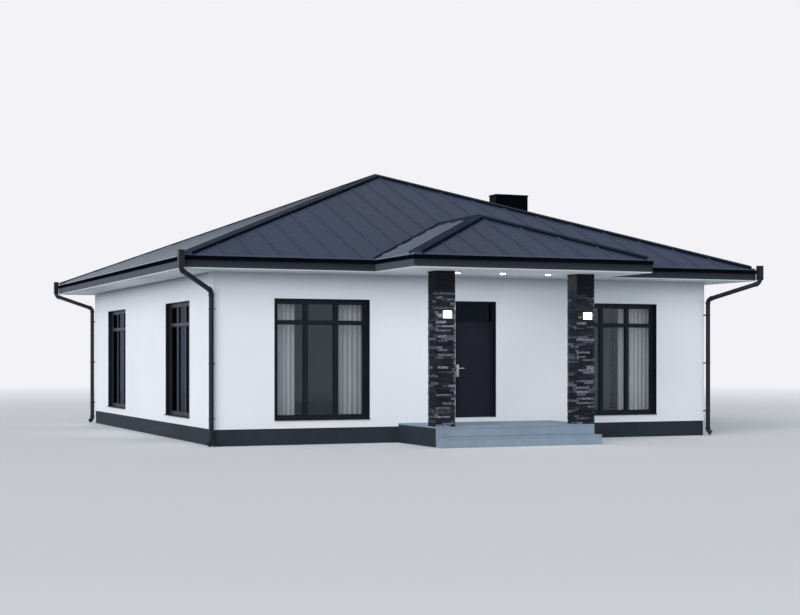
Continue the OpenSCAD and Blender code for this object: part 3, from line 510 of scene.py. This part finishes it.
nodeFinish = {
    "whiteRender": ["front_wall_left", "front_wall_right", "front_wall_over_door", "rear_wall_left",
                    "rear_wall_right", "door_threshold"],
    "sideRender": ["left_wall", "right_wall"],
    "plinth": ["foundation", "porch_platform"],
    "floorScreed": ["floor"],
    "ceilingBoard": ["ceiling"],
    "roofSheet": ["roof_front", "roof_rear"],
    "sideSheet": ["roof_left", "roof_right"],
    "porchSheet": ["porch_roof_front"],
    "porchSideSheet": ["porch_roof_left", "porch_roof_right"],
    "hipSheet": ["hip_caps"],
    "porchHipSheet": ["porch_hip_caps"],
    "capSheet": ["flashings"],
    "soffit": ["soffits"],
    "porchBoards": ["porch_ceiling"],
    "fasciaMetal": ["fascia", "porch_fascia"],
    "gutterMetal": ["gutters", "porch_gutter"],
    "pipeMetal": ["downpipes", "pipe_brackets"],
    "paving": ["porch_paving", "porch_step"],
    "ledgeStone": ["column_left", "column_right"],
    "frameMetal": ["door_frame", "front_window_frames", "rear_window_frames", "window_sills",
                   "window_linings"],
    "sideFrameMetal": ["left_window_frames", "right_window_frames"],
    "frontGlass": ["front_glass"],
    "darkGlass": ["left_glass", "right_glass", "rear_glass", "door_transom_glass"],
    "doorPaint": ["door_leaf"],
    "handleSteel": ["door_handles", "window_handles"],
    "lampMetal": ["wall_lamps"],
    "lampGlow": ["wall_lamp_glows"],
    "spotGlow": ["porch_spotlights"],
    "trackMetal": ["curtain_tracks"],
    "sheerCloth": ["curtain_1", "curtain_2", "curtain_3", "curtain_4"],
    "chimneyMetal": ["chimney", "chimney_cap"],
}
for finishName, members in nodeFinish.items():
    for member in members:
        nodes[member].data.materials.clear()
        nodes[member].data.materials.append(finishes[finishName])
print("finishes made:", len(finishes))


def meshObject(name, vertices, faces):
    mesh = bpy.data.meshes.new(name)
    mesh.from_pydata(vertices, [], faces)
    mesh.update()
    made = bpy.data.objects.new(name, mesh)
    bpy.context.scene.collection.objects.link(made)
    return made


def plainMesh(source, name):
    # The evaluated shape of an object as a plain mesh, without its modifiers.
    bpy.context.view_layer.update()
    shaped = source.evaluated_get(bpy.context.evaluated_depsgraph_get())
    mesh = bpy.data.meshes.new_from_object(shaped)
    mesh.name = name
    made = bpy.data.objects.new(name, mesh)
    bpy.context.scene.collection.objects.link(made)
    bpy.data.objects.remove(source)
    return made


def newTree(name, sockets):
    tree = bpy.data.node_groups.new(name, "GeometryNodeTree")
    tree.interface.new_socket("Geometry", in_out="INPUT", socket_type="NodeSocketGeometry")
    tree.interface.new_socket("Geometry", in_out="OUTPUT", socket_type="NodeSocketGeometry")
    for label, kind in sockets:
        tree.interface.new_socket(label, in_out="INPUT", socket_type=kind)
    return tree, put(tree, "NodeGroupInput").outputs, put(tree, "NodeGroupOutput")


def runTree(obj, tree, values):
    modifier = obj.modifiers.new("shape", "NODES")
    modifier.node_group = tree
    for item in tree.interface.items_tree:
        if item.in_out == "INPUT" and item.name in values:
            modifier[item.identifier] = values[item.name]
    return plainMesh(obj, obj.name + "Laid")


ledge = {
    "course": (0.030, 0.056),  # heights of the courses
    "length": (0.11, 0.38),  # lengths of the stones
    "joint": 0.003,
    "bed": 0.030,  # depth of the bed behind the column's true face
    "keyed": 0.004,  # how far the stones reach into the bed
    "proud": 0.010,  # how far the deepest stone stands back from the true face
    "corner": 0.002,  # gap at the end of a course that covers the corner
    "leastCourse": 0.6,  # a rest lower than this share of the lowest course joins the course under it
    "leastStone": 0.7,  # and one shorter than this share of the shortest stone joins the stone before it
    "split": 0.009,  # roughness of the split faces
    "grain": 17.0,
    # Painted shade under the porch roof: the top of each column gets only dark stones.
    "shadedTop": 0.15,  # the top share of the height has no light stones
    "shadedTopTone": 0.22,
    "seed": 23,
}


def stoneLayout(low, high, c):
    # One entry for each stone: its middle, its size and its tone.
    draw = random.Random(c["seed"] + round(low.x * 10))
    centre, half = (low + high) / 2, (high - low) / 2
    stones = []
    z, odd = low.z, 0
    while z < high.z - 0.004:
        tall = min(draw.uniform(*c["course"]), high.z - z)
        if high.z - z - tall < c["course"][0] * c["leastCourse"]:
            tall = high.z - z
        for side in range(4):
            full = (side + odd) % 2 == 0
            end = half.x - (c["corner"] if full else c["bed"] + c["joint"])
            x = -end
            while x < end - 0.001:
                long = draw.uniform(*c["length"])
                if end - x - long < c["length"][0] * c["leastStone"]:
                    long = end - x
                out = half.x - draw.random() * c["proud"]
                back = half.x - c["bed"] - c["keyed"]
                middle = Vector(((x + long / 2), -(out + back) / 2, 0))
                turn = Matrix.Rotation(side * math.pi / 2, 3, "Z")
                at = turn @ middle + Vector((centre.x, centre.y, z + tall / 2))
                size = (long - c["joint"], out - back, tall - c["joint"])
                if side % 2:
                    size = (size[1], size[0], size[2])
                # Painted shade under the porch roof darkens the stones near the top.
                under = c["shadedTopTone"] if z > high.z - c["shadedTop"] * (high.z - low.z) else 1
                stones.append((at, size, draw.random() * under))
                x += long
        z += tall
        odd += 1
    return stones


def blockTree():
    # Blocks on points, each as large as its point says, with split faces.
    tree, given, out = newTree("layBlocks", [("Split", "NodeSocketFloat"), ("Grain", "NodeSocketFloat"),
                                             ("Finish", "NodeSocketMaterial")])
    points = put(tree, "GeometryNodeMeshToPoints", {"Mesh": given["Geometry"]})
    size = put(tree, "GeometryNodeInputNamedAttribute", {"Name": "blockSize"}, data_type="FLOAT_VECTOR")
    block = put(tree, "GeometryNodeMeshCube", {"Size": (1, 1, 1), "Vertices X": 4, "Vertices Y": 4,
                                               "Vertices Z": 3})
    laid = put(tree, "GeometryNodeInstanceOnPoints", {"Points": points.outputs[0], "Instance": block.outputs[0],
                                                      "Scale": size.outputs[0]})
    solid = put(tree, "GeometryNodeRealizeInstances", {0: laid.outputs[0]})
    place = put(tree, "GeometryNodeInputPosition")
    rough = put(tree, "ShaderNodeTexNoise", {"Vector": place.outputs[0], "Scale": given["Grain"],
                                             "Detail": 3.0})
    centred = put(tree, "ShaderNodeVectorMath", {0: rough.outputs["Color"], 1: (0.5, 0.5, 0.5)},
                  operation="SUBTRACT")
    scaled = put(tree, "ShaderNodeVectorMath", {0: centred.outputs[0], "Scale": given["Split"]},
                 operation="SCALE")
    flatter = put(tree, "ShaderNodeVectorMath", {0: scaled.outputs[0], 1: (1, 1, 0.35)}, operation="MULTIPLY")
    split = put(tree, "GeometryNodeSetPosition", {"Geometry": solid.outputs[0], "Offset": flatter.outputs[0]})
    flat = put(tree, "GeometryNodeSetShadeSmooth", {"Geometry": split.outputs[0], "Shade Smooth": False})
    done = put(tree, "GeometryNodeSetMaterial", {"Geometry": flat.outputs[0], "Material": given["Finish"]})
    tree.links.new(done.outputs[0], out.inputs[0])
    return tree


def boxMesh(low, high):
    corners = [(x, y, z) for z in (low.z, high.z) for y in (low.y, high.y) for x in (low.x, high.x)]
    faces = [(0, 2, 3, 1), (4, 5, 7, 6), (0, 1, 5, 4), (2, 6, 7, 3), (0, 4, 6, 2), (1, 3, 7, 5)]
    return corners, faces


def joinInto(target, *others):
    # Adds the others' meshes to the target's.
    work = bmesh.new()
    work.from_mesh(target.data)
    for other in others:
        work.from_mesh(other.data)
        bpy.data.objects.remove(other)
    work.to_mesh(target.data)
    work.free()
    return target


def oneFinish(obj, finish):
    for face in obj.data.polygons:
        face.material_index = 0
    obj.data.materials.clear()
    obj.data.materials.append(finishes[finish])


def ledgeColumn(node, tree, c):
    low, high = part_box(node)
    stones = stoneLayout(low, high, c)
    points = meshObject(node + "Stones", [s[0] for s in stones], [])
    points.data.attributes.new("blockSize", "FLOAT_VECTOR", "POINT")
    points.data.attributes.new("tone", "FLOAT", "POINT")
    for i, (_, size, tone) in enumerate(stones):
        points.data.attributes["blockSize"].data[i].vector = size
        points.data.attributes["tone"].data[i].value = tone
    laid = runTree(points, tree, {"Split": c["split"], "Grain": c["grain"], "Finish": finishes["ledgeStone"]})
    inset = Vector((c["bed"], c["bed"], 0))
    core = meshObject(node + "Core", *boxMesh(low + inset, high - inset))
    joinInto(laid, core)
    oneFinish(laid, "ledgeStone")
    laid.name = node + "Ledge"
    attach(laid, "house")
    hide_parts(node)


blocksTree = blockTree()
for columnNode in ("column_left", "column_right"):
    ledgeColumn(columnNode, blocksTree, ledge)
print("ledge stone laid")


def addBlock(work, low, high, width):
    # A block with rounded edges, added to a mesh under work.
    middle, size = (Vector(low) + Vector(high)) / 2, Vector(high) - Vector(low)
    corners = bmesh.ops.create_cube(work, size=1)["verts"]
    for v in corners:
        v.co = middle + Vector((v.co.x * size.x, v.co.y * size.y, v.co.z * size.z))
    edges = list({edge for v in corners for edge in v.link_edges})
    if width:
        bmesh.ops.bevel(work, geom=edges, offset=width, segments=2, affect="EDGES", profile=0.5)


def workObject(name, work, finish):
    mesh = bpy.data.meshes.new(name)
    work.to_mesh(mesh)
    work.free()
    made = bpy.data.objects.new(name, mesh)
    bpy.context.scene.collection.objects.link(made)
    mesh.materials.append(finishes[finish])
    return made


# Slabs with joints on the porch and its step: treads that stand a little proud of the risers.
slabs = {
    "columns": 4,
    "rows": 2,  # on the platform
    "thick": 0.030,
    "joint": 0.003,
    "nosing": 0.012,
    "round": 0.004,
    "riser": 0.030,  # thickness of a riser with its nosing
    "riserGap": 0.001,  # under the tread
    "riserRound": 0.003,
    "bed": 0.006,  # depth of the joints
    "bedIn": 0.004,  # distance of the bed from the sides
}


def laySlabs(node, rows, riserLow, c):
    low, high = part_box(node)
    work = bmesh.new()
    wide, deep = (high.x - low.x) / c["columns"], (high.y - low.y) / rows
    gap = c["joint"] / 2
    for i in range(c["columns"]):
        x0 = low.x + i * wide + gap * (i > 0)
        x1 = low.x + (i + 1) * wide - gap * (i < c["columns"] - 1)
        for r in range(rows):
            y0, y1 = low.y + r * deep + gap * (r > 0), low.y + (r + 1) * deep - gap
            addBlock(work, (x0, y0, high.z - c["thick"]), (x1, y1, high.z), c["round"])
        addBlock(work, (x0, low.y + c["nosing"], riserLow),
                 (x1, low.y + c["riser"], high.z - c["thick"] - c["riserGap"]), c["riserRound"])
    addBlock(work, (low.x + c["bedIn"], low.y + c["nosing"] + c["bed"], low.z),
             (high.x - c["bedIn"], high.y, high.z - c["bed"]), 0)
    made = workObject(node + "Slabs", work, "paving")
    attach(made, "house")
    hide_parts(node)


laySlabs("porch_paving", slabs["rows"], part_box("porch_step")[1].z, slabs)
laySlabs("porch_step", 1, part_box("porch_step")[0].z, slabs)
print("porch slabs laid")


def mergedMesh(node):
    # A copy of a CAD node's loose triangles, joined where they touch.
    work = bmesh.new()
    work.from_mesh(nodes[node].data)
    bmesh.ops.remove_doubles(work, verts=work.verts, dist=0.00002)
    return work


def islandBoxes(node):
    # The low and high corners of each separate solid of a CAD node.
    work = mergedMesh(node)
    seen, boxes = set(), []
    for first in work.verts:
        if first in seen:
            continue
        seen.add(first)
        group, edge = [first], [first]
        while edge:
            for link in edge.pop().link_edges:
                for v in link.verts:
                    if v not in seen:
                        seen.add(v)
                        group.append(v)
                        edge.append(v)
        boxes.append(tuple(Vector([pick(v.co[k] for v in group) for k in range(3)]) for pick in (min, max)))
    work.free()
    return boxes


# A round rubber seal round both faces of every pane.
seal = {
    "radius": 0.005,
    "sides": 8,
}


def sealTree():
    tree, given, out = newTree("runSeal", [("Radius", "NodeSocketFloat"), ("Sides", "NodeSocketInt"),
                                           ("Finish", "NodeSocketMaterial")])
    path = put(tree, "GeometryNodeMeshToCurve", {"Mesh": given["Geometry"]})
    ring = put(tree, "GeometryNodeCurvePrimitiveCircle", {"Resolution": given["Sides"],
                                                          "Radius": given["Radius"]})
    swept = put(tree, "GeometryNodeCurveToMesh", {"Curve": path.outputs[0], "Profile Curve": ring.outputs[0]})
    real = put(tree, "GeometryNodeRealizeInstances", {0: swept.outputs[0]})
    done = put(tree, "GeometryNodeSetMaterial", {"Geometry": real.outputs[0], "Material": given["Finish"]})
    tree.links.new(done.outputs[0], out.inputs[0])
    return tree


def sealPanes(node, tree, c):
    vertices, edges = [], []
    r = c["radius"]
    for low, high in islandBoxes(node):
        thin = 0 if high.x - low.x < high.y - low.y else 1
        across = 1 - thin
        for face in (low[thin], high[thin]):
            start = len(vertices)
            for a, z in ((low[across] + r, low.z + r), (high[across] - r, low.z + r),
                         (high[across] - r, high.z - r), (low[across] + r, high.z - r)):
                point = [0, 0, z]
                point[thin], point[across] = face, a
                vertices.append(point)
            edges += [(start + k, start + (k + 1) % 4) for k in range(4)]
    mesh = bpy.data.meshes.new(node + "Paths")
    mesh.from_pydata(vertices, edges, [])
    paths = bpy.data.objects.new(node + "Paths", mesh)
    bpy.context.scene.collection.objects.link(paths)
    made = runTree(paths, tree, {"Radius": r, "Sides": c["sides"], "Finish": finishes["sealRubber"]})
    oneFinish(made, "sealRubber")
    made.name = node + "Seals"
    made.data.shade_smooth()
    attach(made, "house")


sealsTree = sealTree()
for paneNode in ("front_glass", "left_glass", "right_glass", "rear_glass", "door_transom_glass"):
    sealPanes(paneNode, sealsTree, seal)
print("panes sealed")


# Flat straps across the open gutters.
strap = {
    "pitch": 0.60,
    "wide": 0.025,
    "thick": 0.003,
    "in": 0.002,  # distance in from the gutter's rims
}


def layStraps(node, tree, c):
    places = []
    for low, high in islandBoxes(node):
        along = 0 if high.x - low.x > high.y - low.y else 1
        length, across = high[along] - low[along], high[1 - along] - low[1 - along]
        count = max(1, round(length / c["pitch"]))
        for k in range(count):
            at, size = [0, 0, high.z - c["thick"] / 2], [0, 0, c["thick"]]
            at[along] = low[along] + (k + 0.5) * length / count
            at[1 - along] = (low[1 - along] + high[1 - along]) / 2
            size[along], size[1 - along] = c["wide"], across - 2 * c["in"]
            places.append((at, size))
    points = meshObject(node + "Marks", [p[0] for p in places], [])
    points.data.attributes.new("blockSize", "FLOAT_VECTOR", "POINT")
    for i, (_, size) in enumerate(places):
        points.data.attributes["blockSize"].data[i].vector = size
    made = runTree(points, tree, {"Split": 0.0, "Grain": 1.0, "Finish": finishes["gutterMetal"]})
    oneFinish(made, "gutterMetal")
    made.name = node + "Straps"
    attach(made, "house")


for troughNode in ("gutters", "porch_gutter"):
    layStraps(troughNode, blocksTree, strap)
print("gutter straps set")


# Copies of the small hardware with softly rounded edges: the body, the width of the rounding, the finish
# and the slot of each.
softEdges = {
    "door_handles": ("front_door", 0.0022, "handleSteel", "handle_steel"),
    "window_handles": ("house", 0.0020, "handleSteel", "handle_steel"),
    "wall_lamp_glows": ("house", 0.0080, "lampGlow", "lamp_glow"),
    "chimney_cap": ("house", 0.0060, "chimneyMetal", "chimney_metal"),
}


def roundedCopy(node, body, width, finish):
    work = mergedMesh(node)
    bmesh.ops.dissolve_limit(work, angle_limit=0.01, verts=work.verts, edges=work.edges)
    sharp = [edge for edge in work.edges if edge.is_manifold and edge.calc_face_angle(0) > 0.6]
    bmesh.ops.bevel(work, geom=sharp, offset=width, segments=2, affect="EDGES", profile=0.5,
                    clamp_overlap=True)
    made = workObject(node + "Rounded", work, finish)
    made.data.shade_smooth()
    made.data.set_sharp_from_angle(angle=0.5)
    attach(made, body)
    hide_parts(node)


for hardNode, (body, width, finish, slot) in softEdges.items():
    roundedCopy(hardNode, body, width, finish)
print("hardware rounded")


# Pleated sheets that hang from their tracks. The folds lean, differ in depth and open on the way down.
curtain = {
    "pleat": 0.105,  # width of one fold
    "deep": 0.033,  # half depth of a fold
    "lean": 0.25,
    "depths": (0.75, 1.15),
    "gathered": 0.62,  # share of the depth at the track
    "openTo": 0.4,  # share of the height where the folds are fully open
    "curl": 0.012,  # how far a fold's sides bend over
    "rows": 40,
    "steps": 14,  # points in one fold
    "seed": 7,
}


def hangCurtain(node, c):
    low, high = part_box(node)
    draw = random.Random(c["seed"] + round(low.x * 7))
    width, tall, middle = high.x - low.x, high.z - low.z, (low.y + high.y) / 2
    folds = max(3, round(width / c["pleat"]))
    count = folds * c["steps"]
    lean = [draw.uniform(-c["lean"], c["lean"]) for _ in range(folds + 2)]
    depth = [draw.uniform(*c["depths"]) for _ in range(folds + 2)]
    vertices, faces, near = [], [], []
    for r in range(c["rows"] + 1):
        down = r / c["rows"]
        z = high.z - tall * down
        loose = c["gathered"] + (1 - c["gathered"]) * min(1, down / c["openTo"])
        for i in range(count + 1):
            t = i / c["steps"]
            k = min(int(t), folds)
            fade = t - k
            swing = lean[k] * (1 - fade) + lean[k + 1] * fade
            size = depth[k] * (1 - fade) + depth[k + 1] * fade
            angle = 2 * math.pi * t + swing * (0.6 + 1.6 * down)
            y = middle + c["deep"] * size * loose * math.sin(angle)
            x = low.x + width * t / folds + c["curl"] * math.sin(2 * angle) * size
            vertices.append((min(max(x, low.x), high.x), y, z))
            # How far forward the cloth lies, for the painted shade in its folds.
            near.append(0.5 - 0.5 * math.sin(angle))
    # The flat width is measured along the folds at half height.
    across = count + 1
    flat = [0.0]
    base = (c["rows"] // 2) * across
    for i in range(count):
        flat.append(flat[-1] + (Vector(vertices[base + i + 1]) - Vector(vertices[base + i])).length)
    for r in range(c["rows"]):
        for i in range(count):
            a = r * across + i
            faces.append((a, a + across, a + across + 1, a + 1))
    cloth = meshObject(node + "Cloth", vertices, faces)
    uv = cloth.data.uv_layers.new(name="cloth")
    for loop in cloth.data.loops:
        r, i = divmod(loop.vertex_index, across)
        uv.data[loop.index].uv = (flat[i], tall * (1 - r / c["rows"]))
    cloth.data.attributes.new("fold", "FLOAT", "POINT").data.foreach_set("value", near)
    cloth.data.shade_smooth()
    cloth.data.materials.append(finishes["sheerCloth"])
    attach(cloth, "house")
    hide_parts(node)
    print("curtain", node, "flat", round(flat[-1], 3), "x", round(tall, 3))


for curtainNode in ("curtain_1", "curtain_2", "curtain_3", "curtain_4"):
    hangCurtain(curtainNode, curtain)


stage = {
    "floor": (0.80, 0.80, 0.82),  # as it is seen
    "bounce": (0.53, 0.56, 0.60),  # as it lights the house
    "back": (0.888, 0.888, 0.930),
    "sky": (0.88, 0.94, 1.0),
    "skyLow": 1.32,  # its strength at the horizon
    "skyTop": 0.42,  # and overhead
    "sun": 2.0,
    "sunColour": (1.0, 0.985, 0.97),
    "sunSpread": 42,
    "sunFrom": (-0.72, -0.61, 0.33),
    "fadeFrom": 22.0,  # metres out, where the floor starts to fade into the background
    "fadeTo": 60.0,
    "size": 300,
}


def makeStage(c):
    size = c["size"]
    ground = meshObject("paleFloor", [(-size, -size, 0), (size, -size, 0), (size, size, 0), (-size, size, 0)],
                        [(0, 1, 2, 3)])
    mat, tree = shader("paleFloor")
    place = objectPlace(tree)
    far = put(tree, "ShaderNodeVectorMath", {0: place}, operation="LENGTH").outputs["Value"]
    fade = ramp(tree, far, c["fadeFrom"], c["fadeTo"])
    shown = directlySeen(tree)
    matt = put(tree, "ShaderNodeBsdfDiffuse", {"Color": tint(tree, shown, c["bounce"], c["floor"])})
    glow = put(tree, "ShaderNodeEmission", {"Color": (*c["back"], 1), "Strength": 1.0})
    both = put(tree, "ShaderNodeMixShader", {0: calc(tree, "MULTIPLY", fade, shown), 1: matt.outputs[0],
                                             2: glow.outputs[0]})
    put(tree, "ShaderNodeOutputMaterial", {"Surface": both.outputs[0]})
    ground.data.materials.append(mat)

    world = bpy.data.worlds.new("softSky")
    bpy.context.scene.world = world
    world.use_nodes = True
    sky = world.node_tree
    sky.nodes.clear()
    shown = directlySeen(sky)
    height = axesOf(sky, put(sky, "ShaderNodeTexCoord").outputs["Generated"])[2]
    strength = ramp(sky, height, 0.0, 0.7, c["skyLow"], c["skyTop"])
    soft = put(sky, "ShaderNodeBackground", {"Color": (*c["sky"], 1), "Strength": strength})
    back = put(sky, "ShaderNodeBackground", {"Color": (*c["back"], 1), "Strength": 1.0})
    both = put(sky, "ShaderNodeMixShader", {0: shown, 1: soft.outputs[0], 2: back.outputs[0]})
    put(sky, "ShaderNodeOutputWorld", {"Surface": both.outputs[0]})

    data = bpy.data.lights.new("softSun", "SUN")
    data.energy = c["sun"]
    data.angle = math.radians(c["sunSpread"])
    data.color = c["sunColour"]
    sun = bpy.data.objects.new("softSun", data)
    bpy.context.scene.collection.objects.link(sun)
    sun.rotation_euler = Vector(c["sunFrom"]).to_track_quat("Z", "Y").to_euler()
    bpy.context.scene.view_settings.view_transform = "Standard"


makeStage(stage)
print("stage and light set")
